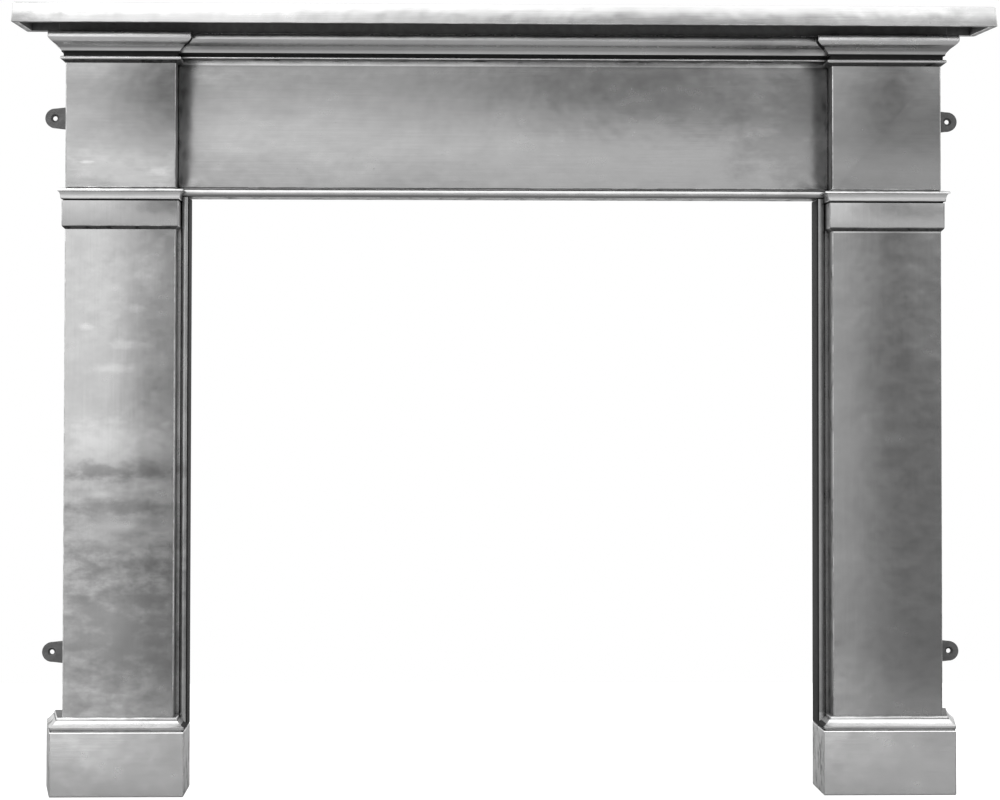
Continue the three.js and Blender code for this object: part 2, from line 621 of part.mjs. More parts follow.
// A wall lug: a flat cast tab that passes through a notch in the back of the leg.
function makeLug(z) {
  const tip = PILASTER_OUTER + LUG_OUT - LUG_END_RADIUS;
  const tab = new THREE.Shape();
  tab.moveTo(LUG_ROOT, -LUG_ROOT_HEIGHT / 2);
  tab.lineTo(PILASTER_OUTER, -LUG_ROOT_HEIGHT / 2);
  tab.lineTo(tip, -LUG_END_RADIUS);
  tab.absarc(tip, 0, LUG_END_RADIUS, -Math.PI / 2, Math.PI / 2, false);
  tab.lineTo(PILASTER_OUTER, LUG_ROOT_HEIGHT / 2);
  tab.lineTo(LUG_ROOT, LUG_ROOT_HEIGHT / 2);
  const plate = new THREE.ExtrudeGeometry(tab, {
    depth: LUG_THICKNESS, bevelEnabled: false, curveSegments: CURVE_STEPS * 2,
  });
  plate.rotateX(Math.PI / 2);
  plate.translate(0, WALL_FACE, z);
  const sinkMiddle = LUG_THICKNESS - LUG_SINK_DEPTH / 2;
  const headDepth = LUG_SCREW_HEAD_RADIUS - LUG_SCREW_RADIUS;
  return cut(solid(plate), [
    bar("y", LUG_HOLE_RADIUS, DRILL_LENGTH, [tip, 0, z]),
    bar("y", LUG_SINK_RADIUS, LUG_SINK_DEPTH, [tip, sinkMiddle, z], LUG_HOLE_RADIUS),
    bar("y", LUG_SCREW_HOLE_RADIUS, DRILL_LENGTH, [LUG_SCREW_X, 0, z]),
    bar("y", LUG_SCREW_HOLE_RADIUS, headDepth, [LUG_SCREW_X, headDepth / 2, z],
      LUG_SCREW_HEAD_RADIUS + JOINT_GAP),
  ]);
}

// ---------------------------------------------------------------- fasteners

// A hexagon-headed bolt whose head seats at depth zero of its own frame and whose shank runs
// along +Z.
function makeBolt(shank) {
  const head = new THREE.CylinderGeometry(BOLT_HEAD_RADIUS, BOLT_HEAD_RADIUS, BOLT_HEAD_HEIGHT, HEX_SIDES);
  head.rotateX(Math.PI / 2);
  head.translate(0, 0, -BOLT_HEAD_HEIGHT / 2);
  const profile = [
    point(0, -OVERLAP),
    point(BOLT_RADIUS, -OVERLAP),
    point(BOLT_RADIUS, shank - BOLT_CHAMFER),
    point(BOLT_RADIUS - BOLT_CHAMFER, shank),
    point(0, shank),
  ];
  const body = new THREE.LatheGeometry(profile, BOLT_SIDES);
  body.rotateX(Math.PI / 2);
  return solid(head).add(solid(body));
}

// A nut or washer from z = 0 upwards, with a clear hole.
function makeRing(radius, height, sides, holeRadius) {
  const body = new THREE.CylinderGeometry(radius, radius, height, sides);
  body.rotateX(Math.PI / 2);
  body.translate(0, 0, height / 2);
  const hole = new THREE.CylinderGeometry(holeRadius, holeRadius, DRILL_LENGTH, BOLT_SIDES);
  hole.rotateX(Math.PI / 2);
  return solid(body).subtract(solid(hole));
}

// A countersunk screw: its flat head at z = 0, its shank along +Z.
function makeLugScrew(shank) {
  const profile = [
    point(0, 0),
    point(LUG_SCREW_HEAD_RADIUS, 0),
    point(LUG_SCREW_RADIUS, LUG_SCREW_HEAD_RADIUS - LUG_SCREW_RADIUS),
    point(LUG_SCREW_RADIUS, shank),
    point(0, shank),
  ];
  const body = new THREE.LatheGeometry(profile, BOLT_SIDES);
  body.rotateX(Math.PI / 2);
  return solid(body);
}

// ---------------------------------------------------------------- the scene

const polishedIron = () => new THREE.MeshStandardMaterial({ color: 0x9a9a9a, roughness: 0.32, metalness: 1 });
const rawIron = () => new THREE.MeshStandardMaterial({ color: 0x3c3c3c, roughness: 0.75, metalness: 0.8 });
const steel = () => new THREE.MeshStandardMaterial({ color: 0xb4b2ac, roughness: 0.4, metalness: 1 });

function part(name, made, material) {
  const mesh = new THREE.Mesh(geometryOf(made), material);
  mesh.name = name;
  return mesh;
}

// Fasteners are made along +Z and turned here: where their frame's +Z points, and where it starts.
function fastener(name, made, [x, depth, z], way) {
  const mesh = part(name, made, steel());
  mesh.position.set(x, fromWall(depth), z);
  mesh.quaternion.setFromUnitVectors(new THREE.Vector3(0, 0, 1), new THREE.Vector3(...way));
  return mesh;
}

const nut = () => makeRing(BOLT_HEAD_RADIUS, NUT_HEIGHT, HEX_SIDES, BOLT_HOLE_RADIUS);
const washer = () => makeRing(WASHER_RADIUS, WASHER_THICKNESS, BOLT_SIDES, BOLT_HOLE_RADIUS);

// Length of a bolt through one casting of a given thickness and another of the usual one.
const clampedShank = (thickness) => thickness + WALL + JOINT_GAP * 3 + NUT_HEIGHT + BOLT_TAIL;

function friezeFasteners(side) {
  return friezeBoltHeights().flatMap((z, i) => {
    const level = ["lower", "upper"][i];
    const seat = PILASTER_INNER + WALL + JOINT_GAP;
    const nutSeat = FRIEZE_END - WALL - JOINT_GAP;
    return [
      fastener(`${side}_frieze_bolt_${level}`, makeBolt(clampedShank(WALL)),
        [seat, FRIEZE_BOLT_DEPTH, z], [-1, 0, 0]),
      fastener(`${side}_frieze_nut_${level}`, nut(), [nutSeat, FRIEZE_BOLT_DEPTH, z], [-1, 0, 0]),
    ];
  });
}

// The bolts that stand on a flange whose underside is at z, and go down through the one below.
function flangeFasteners(side, joint, z, thickness) {
  return flangeBoltPlaces().flatMap((x, i) => {
    const place = ["inner", "outer"][i];
    const seat = z + thickness + JOINT_GAP;
    const nutSeat = z - WALL - JOINT_GAP * 2;
    return [
      fastener(`${side}_${joint}_bolt_${place}`, makeBolt(clampedShank(thickness)),
        [x, FLANGE_BOLT_DEPTH, seat], [0, 0, -1]),
      fastener(`${side}_${joint}_nut_${place}`, nut(), [x, FLANGE_BOLT_DEPTH, nutSeat], [0, 0, -1]),
    ];
  });
}

function shelfFasteners(x, name) {
  const washerTop = CORNICE_TOP - WALL - JOINT_GAP;
  const head = washerTop - WASHER_THICKNESS - JOINT_GAP;
  const shank = SHELF_SEAT + TAPPED_DEPTH - BOLT_TAIL - head;
  return [
    fastener(`${name}_shelf_bolt`, makeBolt(shank), [x, SHELF_BOLT_DEPTH, head], [0, 0, 1]),
    fastener(`${name}_shelf_washer`, washer(),
      [x, SHELF_BOLT_DEPTH, washerTop - WASHER_THICKNESS], [0, 0, 1]),
  ];
}

function lugParts(side) {
  const nutSeat = LUG_THICKNESS + JOINT_GAP + WALL + JOINT_GAP;
  return [["top", LUG_TOP_Z], ["low", LUG_LOW_Z]].flatMap(([level, z]) => [
    part(`${side}_${level}_wall_lug`, makeLug(z), rawIron()),
    fastener(`${side}_${level}_lug_screw`, makeLugScrew(nutSeat + LUG_NUT_HEIGHT + LUG_SCREW_TAIL),
      [LUG_SCREW_X, 0, z], [0, -1, 0]),
    fastener(`${side}_${level}_lug_nut`,
      makeRing(LUG_NUT_RADIUS, LUG_NUT_HEIGHT, HEX_SIDES, LUG_SCREW_HOLE_RADIUS),
      [LUG_SCREW_X, nutSeat, z], [0, -1, 0]),
  ]);
}

// Everything on one side. It is modelled on the right and mirrored for the left.
function makeSide(side) {
  const group = new THREE.Group();
  group.add(
    part(`${side}_plinth`, makePlinth(), polishedIron()),
    part(`${side}_leg`, makeLeg(), polishedIron()),
    part(`${side}_block`, makeBlock(), polishedIron()),
    ...flangeFasteners(side, "plinth", LEG_BOTTOM, FOOT_THICKNESS),
    ...flangeFasteners(side, "block", BLOCK_BOTTOM, WALL),
    ...friezeFasteners(side),
    ...shelfFasteners(PILASTER_CENTRE, `${side}_block`),
    ...lugParts(side),
  );
  if (side === "left") group.scale.x = -1;
  return group;
}

const surround = new THREE.Group();
surround.add(
  part("frieze", makeFrieze(), polishedIron()),
  part("mantel_shelf", makeShelf(), polishedIron()),
  ...shelfFasteners(-FRIEZE_SHELF_BOLT_X, "left_frieze"),
  ...shelfFasteners(FRIEZE_SHELF_BOLT_X, "right_frieze"),
  makeSide("left"),
  makeSide("right"),
);

export default surround;
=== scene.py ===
"""The looks of a polished cast iron fireplace surround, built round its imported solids.

Metres, +Z up, origin on the floor on the centre line. The front faces -Y and the wall is at +Y.
"""

import math

import bmesh
import bpy
from mathutils import Matrix, Vector
from mathutils.bvhtree import BVHTree

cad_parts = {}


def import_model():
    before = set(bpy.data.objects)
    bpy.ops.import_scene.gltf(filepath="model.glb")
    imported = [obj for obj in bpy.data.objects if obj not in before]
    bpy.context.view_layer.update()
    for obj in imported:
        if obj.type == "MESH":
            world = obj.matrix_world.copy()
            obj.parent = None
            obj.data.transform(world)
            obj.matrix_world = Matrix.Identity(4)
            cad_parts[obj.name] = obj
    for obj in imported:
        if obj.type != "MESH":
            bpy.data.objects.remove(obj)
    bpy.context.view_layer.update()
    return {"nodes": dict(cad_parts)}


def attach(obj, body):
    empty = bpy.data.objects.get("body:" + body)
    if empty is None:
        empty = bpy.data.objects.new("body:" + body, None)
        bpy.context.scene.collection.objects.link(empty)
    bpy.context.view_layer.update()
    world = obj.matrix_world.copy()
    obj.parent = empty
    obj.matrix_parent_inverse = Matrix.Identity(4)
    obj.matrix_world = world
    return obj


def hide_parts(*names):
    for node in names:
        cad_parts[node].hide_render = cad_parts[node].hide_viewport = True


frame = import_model()

# ---------------------------------------------------------------- camera

CAMERA_PLACE = (-0.1285, -4.0675, 0.570)
CAMERA_YAW = 0.030  # turned to the right
CAMERA_PITCH = 0.030  # tipped up
CAMERA_ROLL = 0.0014
CAMERA_REACH = 100.0
SENSOR = 36.0
FOCAL_PIXELS = 2888.0
IMAGE_WIDTH = 1000.0
CAMERA_SHIFT_Y = -0.10


def camera():
    data = bpy.data.cameras.new("camera")
    data.sensor_width = SENSOR
    data.lens = FOCAL_PIXELS / IMAGE_WIDTH * SENSOR
    data.shift_y = CAMERA_SHIFT_Y
    data.clip_end = CAMERA_REACH
    eye = bpy.data.objects.new("camera", data)
    bpy.context.scene.collection.objects.link(eye)
    turn = (
        Matrix.Rotation(-CAMERA_YAW, 4, "Z")
        @ Matrix.Rotation(math.pi / 2 + CAMERA_PITCH, 4, "X")
        @ Matrix.Rotation(CAMERA_ROLL, 4, "Z")
    )
    eye.matrix_world = Matrix.Translation(CAMERA_PLACE) @ turn
    bpy.context.scene.camera = eye


# ---------------------------------------------------------------- pieces

SIDES = ("left", "right")
CASTINGS = ["mantel_shelf", "frieze"] + [
    f"{side}_{kind}" for side in SIDES for kind in ("leg", "block", "plinth")
]
LUGS = [f"{side}_{level}_wall_lug" for side in SIDES for level in ("top", "low")]
SHARP = math.radians(28)  # an edge that turns more than this is an arris
FLAT = math.radians(0.4)  # faces that turn less than this are one face
WELD = 1e-5
ARRIS = 0.0013  # width of the rounding along an arris
ARRIS_STEPS = 2
SHORT_EDGE = 0.0024  # shorter edges aren't rounded
NARROW_FACE = 0.0020  # nor are the edges of narrower faces
# Material slots of a casting.
POLISHED, RAW, SIDE, UNDER, ARRIS_FACE, GROOVE, INNER, REVEAL = range(8)
# Shares of a normal along an axis, from which a face looks that way.
FACES_ALONG = 0.5
FACES_DOWN = 0.6
UPRIGHT = 0.3  # faces with a smaller share along Z stand upright
REVEAL_HALF = 0.450  # the faces nearer the centre line that look across it line the opening
UNDERSIDE_WIDTH = 0.003  # narrower faces that look down belong to a curved moulding
HOLLOW_START = 1e-4  # how far in front of a face its view of its own casting starts
HOLLOW_REACH = 0.020  # a face that looks at its own casting from further off lies in a hollow
GROOVE_START = 0.0005  # how far in front of a face its groove is measured
GROOVE_NARROW, GROOVE_WIDE = 0.0018, 0.010  # a recess of this height is black, as the casting's skin and as painted shade
UP, DOWN = Vector((0, 0, 1)), Vector((0, 0, -1))


def add_object(name, bm):
    mesh = bpy.data.meshes.new(name)
    bm.to_mesh(mesh)
    bm.free()
    obj = bpy.data.objects.new(name, mesh)
    bpy.context.scene.collection.objects.link(obj)
    return obj


def width_of(face):
    return 2 * face.calc_area() / face.calc_perimeter()


def solid_of(node):
    """The node's solid as one welded mesh with its flat faces whole."""
    bm = bmesh.new()
    bm.from_mesh(frame["nodes"][node].data)
    bmesh.ops.remove_doubles(bm, verts=bm.verts, dist=WELD)
    bmesh.ops.dissolve_limit(bm, angle_limit=FLAT, verts=bm.verts, edges=bm.edges, delimit=set())
    return bm


def is_arris(edge):
    return (
        edge.is_manifold
        and edge.is_convex
        and edge.calc_face_angle() > SHARP
        and edge.calc_length() > SHORT_EDGE
        and all(width_of(face) > NARROW_FACE for face in edge.link_faces)
    )


def round_arrises(bm):
    """Rounds the arrises and returns the new faces along them."""
    return bmesh.ops.bevel(
        bm,
        geom=[edge for edge in bm.edges if is_arris(edge)],
        offset=ARRIS,
        offset_type="OFFSET",
        segments=ARRIS_STEPS,
        profile=0.5,
        affect="EDGES",
        clamp_overlap=False,
        miter_outer="SHARP",
    )["faces"]


def shade_smooth(bm):
    for face in bm.faces:
        face.smooth = True
    for edge in bm.edges:
        edge.smooth = edge.is_manifold and edge.calc_face_angle() < SHARP


def in_groove(tree, centre, normal):
    if abs(normal.z) > UPRIGHT:
        return False
    start = centre + normal * GROOVE_START
    up = tree.ray_cast(start, UP, GROOVE_WIDE)[3]
    down = tree.ray_cast(start, DOWN, GROOVE_WIDE)[3]
    return up is not None and down is not None and GROOVE_NARROW < up + down < GROOVE_WIDE


def finish_of(face, tree, on_arris):
    """Faces that look at the wall or lie in a hollow are raw. Grooves get the black skin of the
    casting, deepened as painted shade, and the sides of the opening are black as painted shade.
    Other sides are ground only, undersides are ground and dark as painted shade, and sides that
    look inwards are darker as painted shade. The rest is polished, and the arrises are worn bright,
    except those that look down, which take the painted shade of the undersides."""
    centre, normal = face.calc_center_median(), face.normal
    hit = tree.ray_cast(centre + normal * HOLLOW_START, normal)
    in_hollow = hit[0] is not None and hit[3] > HOLLOW_REACH
    underside = normal.z < -FACES_DOWN and width_of(face) > UNDERSIDE_WIDTH
    if normal.y > FACES_ALONG or in_hollow:
        return RAW
    if in_groove(tree, centre, normal):
        return GROOVE
    if underside or (on_arris and normal.z < -FACES_ALONG):
        return UNDER
    if on_arris:
        return ARRIS_FACE
    if abs(normal.x) <= FACES_ALONG:
        return POLISHED
    if centre.x * normal.x > 0:
        return SIDE
    return REVEAL if abs(centre.x) < REVEAL_HALF else INNER


def casting(node):
    bm = solid_of(node)
    arris_faces = set(round_arrises(bm))
    tree = BVHTree.FromBMesh(bm)
    for face in bm.faces:
        face.material_index = finish_of(face, tree, face in arris_faces)
    shade_smooth(bm)
    obj = add_object(f"{node}_casting", bm)
    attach(obj, "root")
    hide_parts(node)
    return obj


# ---------------------------------------------------------------- nodes


class Tree:
    """Short calls for the nodes of one node tree."""

    def __init__(self, tree):
        self.tree = tree

    def add(self, kind, **settings):
        node = self.tree.nodes.new(kind)
        for key, value in settings.items():
            setattr(node, key, value)
        return node

    def plug(self, socket, value):
        if isinstance(value, bpy.types.NodeSocket):
            self.tree.links.new(value, socket)
        else:
            socket.default_value = value

    def axes(self, vector):
        node = self.add("ShaderNodeSeparateXYZ")
        self.plug(node.inputs[0], vector)
        return node.outputs

    def math(self, operation, a, b=0.0):
        node = self.add("ShaderNodeMath", operation=operation)
        self.plug(node.inputs[0], a)
        self.plug(node.inputs[1], b)
        return node.outputs[0]

    def mix(self, share, a, b):
        node = self.add("ShaderNodeMix", data_type="FLOAT")
        for key, setting in {"Factor": share, "A": a, "B": b}.items():
            self.plug(node.inputs[key], setting)
        return node.outputs["Result"]

    def ramp(self, value, low, high, start=0.0, end=1.0):
        node = self.add("ShaderNodeMapRange", interpolation_type="SMOOTHSTEP")
        limits = {"From Min": low, "From Max": high, "To Min": start, "To Max": end}
        for key, setting in {"Value": value, **limits}.items():
            self.plug(node.inputs[key], setting)
        return node.outputs["Result"]


CREVICE_SAMPLES = 6


class Surface(Tree):
    """The nodes of one material, with patterns that lie in the object's own coordinates."""

    def __init__(self, name, metallic=1.0):
        self.material = bpy.data.materials.new(name)
        self.material.use_nodes = True
        super().__init__(self.material.node_tree)
        self.shader = self.tree.nodes["Principled BSDF"].inputs
        self.shader["Metallic"].default_value = metallic
        self.point = self.add("ShaderNodeTexCoord").outputs["Object"]

    def noise(self, size, stretch=(1, 1, 1), detail=3.0, roughness=0.5, distortion=0.0, offset=0.0):
        """Noise whose features are about size metres across, longer by stretch along each axis."""
        mapping = self.add("ShaderNodeMapping")
        self.plug(mapping.inputs["Vector"], self.point)
        mapping.inputs["Scale"].default_value = [1 / (size * s) for s in stretch]
        mapping.inputs["Location"].default_value = (offset, offset * 1.7, offset * 2.3)
        node = self.add("ShaderNodeTexNoise")
        self.plug(node.inputs["Vector"], mapping.outputs["Vector"])
        node.inputs["Scale"].default_value = 1.0
        node.inputs["Detail"].default_value = detail
        node.inputs["Roughness"].default_value = roughness
        node.inputs["Distortion"].default_value = distortion
        return node.outputs["Fac"]

    def swing(self, noise, amount):
        """The noise as a swing about zero."""
        return self.math("MULTIPLY", self.math("SUBTRACT", noise, 0.5), amount)

    def hidden(self, distance):
        """0 in the open, and up to 1 where faces within the distance close a place in."""
        node = self.add("ShaderNodeAmbientOcclusion", samples=CREVICE_SAMPLES)
        node.inputs["Distance"].default_value = distance
        return self.math("SUBTRACT", 1.0, node.outputs["AO"])

    def bump(self, height, strength, distance, normal=None):
        node = self.add("ShaderNodeBump")
        node.inputs["Strength"].default_value = strength
        node.inputs["Distance"].default_value = distance
        self.plug(node.inputs["Height"], height)
        if normal is not None:
            self.plug(node.inputs["Normal"], normal)
        return node.outputs["Normal"]

    def finish(self, grey, roughness, normal):
        colour = self.add("ShaderNodeCombineColor")
        for channel in ("Red", "Green", "Blue"):
            self.plug(colour.inputs[channel], grey)
        self.plug(self.shader["Base Color"], colour.outputs[0])
        self.plug(self.shader["Roughness"], roughness)
        self.plug(self.shader["Normal"], normal)
        return self.material


# ---------------------------------------------------------------- materials

CREVICE_DIRT_AND_SHADE_GREY = 0.02  # the dirt and black skin that stay in the corners, and painted shade where faces close a place in
PIT_GREY = 0.12
GRINDING_LENGTH = 40  # how much longer than wide the grinding marks are
PATCH_EDGE = (1.3, 0.1)  # from outside a patch to inside it, in shares of its half size
PATCH_SIZE = 0.022  # of the ragged bits along the edge of a patch
PATCH_RAGGEDNESS = 2.6


def painted_light_bands(n, grey, painted_bands):
    """Painted shade and painted highlights in bands up a piece: (low z, high z), the change below,
    the change above and the y that a place lies in front of to take part."""
    axes = n.axes(n.point)
    for (low, high), below, above, back in painted_bands:
        change = n.ramp(axes["Z"], low, high, below, above)
        change = n.mix(n.math("LESS_THAN", axes["Y"], back), 1.0, change)
        grey = n.math("MULTIPLY", grey, change)
    return grey


def painted_patches(n, grey, places, seed):
    """Painted reflections and painted shade, as lighter and darker clouds on the polish: (x, z,
    half width, half height, change) each.
    """
    axes = n.axes(n.point)
    ragged = n.noise(PATCH_SIZE, (1.8, 1, 1), detail=4, roughness=0.6, offset=seed)
    ragged = n.swing(ragged, PATCH_RAGGEDNESS)
    for x, z, wide, high, change in places:
        across = n.math("DIVIDE", n.math("SUBTRACT", axes["X"], x), wide)
        up = n.math("DIVIDE", n.math("SUBTRACT", axes["Z"], z), high)
        reach = n.math("ADD", n.math("MULTIPLY", across, across), n.math("MULTIPLY", up, up))
        reach = n.math("ADD", n.math("SQRT", reach), ragged)
        grey = n.math("MULTIPLY", grey, n.ramp(reach, *PATCH_EDGE, 1.0, change))
    return grey


def polished_iron(name, grain, tone, seed, painted_bands, places):
    """Ground and polished bare iron. grain is 1 along the axis that the grinding marks follow."""
    n = Surface(name)
    clouds = n.noise(0.10, (1.6, 1, 1), detail=4, roughness=0.55, distortion=0.5, offset=seed)
    mottle = n.noise(0.017, (1.5, 1, 1), detail=3, roughness=0.6, offset=seed + 3)
    stretch = [1 + along * GRINDING_LENGTH for along in grain]
    streaks = n.noise(0.0022, stretch, detail=2, offset=seed + 5)
    pitted = n.ramp(n.noise(0.0030, detail=1, offset=seed + 8), 0.20, 0.17)
    # Darker where faces close a place in: dirt in the corners and painted shade.
    crevice_dirt_and_shade = n.ramp(n.math("ADD", n.hidden(0.006), n.swing(mottle, 0.4)), 0.45, 0.85)
    grey = n.mix(clouds, tone * 0.84, tone * 1.14)
    grey = n.math("MULTIPLY", grey, n.mix(mottle, 0.92, 1.08))
    grey = n.math("MULTIPLY", grey, n.mix(streaks, 0.95, 1.05))
    # Painted light: bands of painted shade and highlight up the piece, and clouds of painted
    # reflection and shade.
    grey = painted_patches(n, painted_light_bands(n, grey, painted_bands), places, seed + 20)
    grey = n.mix(pitted, n.mix(crevice_dirt_and_shade, grey, CREVICE_DIRT_AND_SHADE_GREY), PIT_GREY)
    rough = n.math("ADD", n.mix(clouds, 0.21, 0.29), n.swing(mottle, 0.10))
    waves = n.bump(n.noise(0.05, detail=2, offset=seed + 11), 0.30, 0.004)
    return n.finish(grey, n.mix(crevice_dirt_and_shade, rough, 0.65), n.bump(streaks, 0.10, 0.0003, waves))


def worn_and_highlit_iron(name, tone, seed):
    """Arrises, rubbed brighter than the faces in an uneven line, and lighter still as painted
    highlight.
    """
    n = Surface(name)
    wear = n.ramp(n.noise(0.028, detail=4, roughness=0.65, offset=seed), 0.42, 0.62)
    # Darker where faces close a place in: dirt in the corners and painted shade.
    crevice_dirt_and_shade = n.ramp(n.hidden(0.012), 0.45, 0.75)
    grey = n.mix(crevice_dirt_and_shade, n.mix(wear, tone * 0.55, tone), CREVICE_DIRT_AND_SHADE_GREY)
    nicks = n.bump(n.noise(0.004, detail=3, offset=seed + 3), 0.35, 0.0006)
    return n.finish(grey, n.mix(wear, 0.34, 0.26), nicks)


def ground_iron(name, tone, seed):
    """Sides and undersides: ground once, with the dark skin of the casting left in places.
    Undersides and inward-looking sides take it in darker tones as painted shade.
    """
    n = Surface(name)
    skin = n.noise(0.020, (1, 1, 1.8), detail=5, roughness=0.7, distortion=0.4, offset=seed)
    skin = n.ramp(skin, 0.50, 0.62)
    marks = n.noise(0.003, (1, 12, 3), detail=3, offset=seed + 4)
    grey = n.math("MULTIPLY", n.mix(skin, tone, tone * 0.40), n.mix(marks, 0.75, 1.25))
    # Darker where faces close a place in: dirt in the corners and painted shade.
    crevice_dirt_and_shade = n.ramp(n.hidden(0.012), 0.34, 0.72)
    normal = n.bump(marks, 0.2, 0.0003, n.bump(skin, 0.3, 0.0004))
    return n.finish(n.mix(crevice_dirt_and_shade, grey, CREVICE_DIRT_AND_SHADE_GREY), n.mix(skin, 0.36, 0.55), normal)


def raw_iron(name, tone, seed, metallic=0.85, specular=0.5):
    """Iron as it leaves the sand: dark, rough and lumpy. Also the black of the grooves and of the
    sides of the opening, given there as painted shade.
    """
    n = Surface(name, metallic)
    n.shader["Specular IOR Level"].default_value = specular
    lumps = n.noise(0.012, detail=5, roughness=0.65, offset=seed)
    sand = n.noise(0.0011, detail=2, offset=seed + 2)
    normal = n.bump(sand, 0.30, 0.0003, n.bump(lumps, 0.35, 0.0015))
    return n.finish(n.mix(lumps, tone * 0.55, tone * 1.5), n.mix(sand, 0.5, 0.75), normal)


def plated_steel(name, seed):
    n = Surface(name)
    dull = n.noise(0.004, detail=3, offset=seed)
    normal = n.bump(n.noise(0.0008, detail=1, offset=seed + 1), 0.2, 0.0002)
    return n.finish(n.mix(dull, 0.30, 0.52), n.mix(dull, 0.34, 0.52), normal)


# ---------------------------------------------------------------- studio

# Levels of the studio behind the camera, from straight down (0) to straight up (1): its bright
# left half and its darker right half. They are shares of ROOM_LEVEL.
ROOM_LEVEL = 2.0
ROOM_LEFT = (
    (0.0, 0.06),
    (0.37, 0.34),
    (0.44, 0.50),
    (0.50, 0.52),
    (0.57, 0.46),
    (0.60, 0.88),
    (0.70, 0.92),
    (1.0, 0.92),
)
ROOM_RIGHT = (
    (0.0, 0.06),
    (0.37, 0.34),
    (0.42, 0.50),
    (0.465, 0.11),
    (0.57, 0.09),
    (0.60, 0.66),
    (0.67, 0.68),
    (0.75, 0.92),
    (1.0, 0.95),
)
ROOM_TURN = (-0.27, 0.27)  # from all left to all right, as X of the direction
BACKDROP_EDGE = (-0.05, 0.05)  # from the studio to the white behind the object, as Y
WHITE = (1, 1, 1, 1)
# Name, place, what it points at, size and watts.
LAMPS = (
    ("key", (-2.6, -3.4, 3.0), (0, 0, 0.7), (2.2, 1.6), 45),
    ("fill", (2.4, -3.0, 1.6), (0.2, 0, 0.6), (1.6, 1.6), 4),
)
FLOOR_HALF = 1.5
FLOOR_DROP = 0.0002  # the floor lies this far under the plinths
FLOOR_GREY = 0.26
FLOOR_ROUGHNESS = 0.9
FLOOR_LIFT = 0.90  # what the camera sees on top of the light that falls on the floor


def background(n, colour, strength):
    node = n.add("ShaderNodeBackground")
    n.plug(node.inputs["Color"], colour)
    node.inputs["Strength"].default_value = strength
    return node.outputs[0]


def blend(n, share, a, b):
    node = n.add("ShaderNodeMixShader")
    for socket, value in zip(node.inputs, (share, a, b)):
        n.plug(socket, value)
    return node.outputs[0]


def grey_levels(n, height, levels):
    node = n.add("ShaderNodeValToRGB")
    n.plug(node.inputs["Fac"], height)
    stops = node.color_ramp.elements
    while len(stops) < len(levels):
        stops.new(0.5)
    for stop, (place, level) in zip(stops, levels):
        stop.position = place
        stop.color = (level, level, level, 1)
    return node.outputs["Color"]


def world():
    """The studio, with a white behind the object that only camera, gloss and glass rays see."""
    made = bpy.data.worlds.new("studio")
    bpy.context.scene.world = made
    made.use_nodes = True
    made.node_tree.nodes.clear()
    n = Tree(made.node_tree)
    way = n.axes(n.add("ShaderNodeTexCoord").outputs["Generated"])
    height = n.math("ADD", n.math("MULTIPLY", way["Z"], 0.5), 0.5)
    left, right = (
        background(n, grey_levels(n, height, levels), ROOM_LEVEL)
        for levels in (ROOM_LEFT, ROOM_RIGHT)
    )
    studio = blend(n, n.ramp(way["X"], *ROOM_TURN), left, right)
    path = n.add("ShaderNodeLightPath").outputs
    seen = n.math("MAXIMUM", path["Is Glossy Ray"], path["Is Transmission Ray"])
    seen = n.math("MULTIPLY", seen, n.ramp(way["Y"], *BACKDROP_EDGE))
    seen = n.math("MAXIMUM", path["Is Camera Ray"], seen)
    shown = blend(n, seen, studio, background(n, WHITE, 1.0))
    n.plug(n.add("ShaderNodeOutputWorld").inputs["Surface"], shown)


def soft_box(name, place, target, size, watts):
    data = bpy.data.lights.new(name, "AREA")
    data.shape = "RECTANGLE"
    data.size, data.size_y = size
    data.energy = watts
    lamp = bpy.data.objects.new(name, data)
    bpy.context.scene.collection.objects.link(lamp)
    lamp.location = place
    lamp.rotation_euler = (Vector(target) - Vector(place)).to_track_quat("-Z", "Y").to_euler()
    lamp.visible_camera = False


def floor():
    """A grey floor that takes the object's shadow and that the camera sees as white."""
    bm = bmesh.new()
    bmesh.ops.create_grid(bm, x_segments=1, y_segments=1, size=FLOOR_HALF)
    bmesh.ops.translate(bm, verts=bm.verts, vec=DOWN * FLOOR_DROP)
    obj = add_object("floor", bm)
    material = bpy.data.materials.new("floor")
    material.use_nodes = True
    n = Tree(material.node_tree)
    shader = n.tree.nodes["Principled BSDF"].inputs
    shader["Base Color"].default_value = (FLOOR_GREY, FLOOR_GREY, FLOOR_GREY, 1)
    shader["Roughness"].default_value = FLOOR_ROUGHNESS
    shader["Specular IOR Level"].default_value = 0.0
    shader["Emission Color"].default_value = WHITE
    path = n.add("ShaderNodeLightPath").outputs
    seen = n.math("MAXIMUM", path["Is Camera Ray"], path["Is Transmission Ray"])
    n.plug(shader["Emission Strength"], n.math("MULTIPLY", seen, FLOOR_LIFT))
    obj.data.materials.append(material)


# ---------------------------------------------------------------- finishes

GRAIN_ACROSS = (1, 0, 0)
GRAIN_UP = (0, 0, 1)
FIRST_SEED, SEED_STEP = 2.0, 5.1
# The grey of each piece's polish. They differ as painted light: the right leg and block are darker
# as painted shade, and the shelf and plinths lighter.
PAINTED_LIGHT_TONES = {
    "mantel_shelf": 0.72,
    "frieze": 0.55,
    "left_block": 0.54,
    "right_block": 0.31,
    "left_leg": 0.54,
    "right_leg": 0.29,
    "left_plinth": 0.78,
    "right_plinth": 0.80,
}
# The grey of the arrises: rubbed bright, and lighter still as painted highlight.
ARRIS_TONE = 0.74
ARRIS_SHADE_TONES = {"right_leg": 0.44}  # the right leg's arrises are darker as painted shade

# Depths that a band of painted light stops at: the wall, and between the leg's face and the strip
# beside its shaft.
WALL_PLANE = 0.0825
FACE_BACK = 0.0
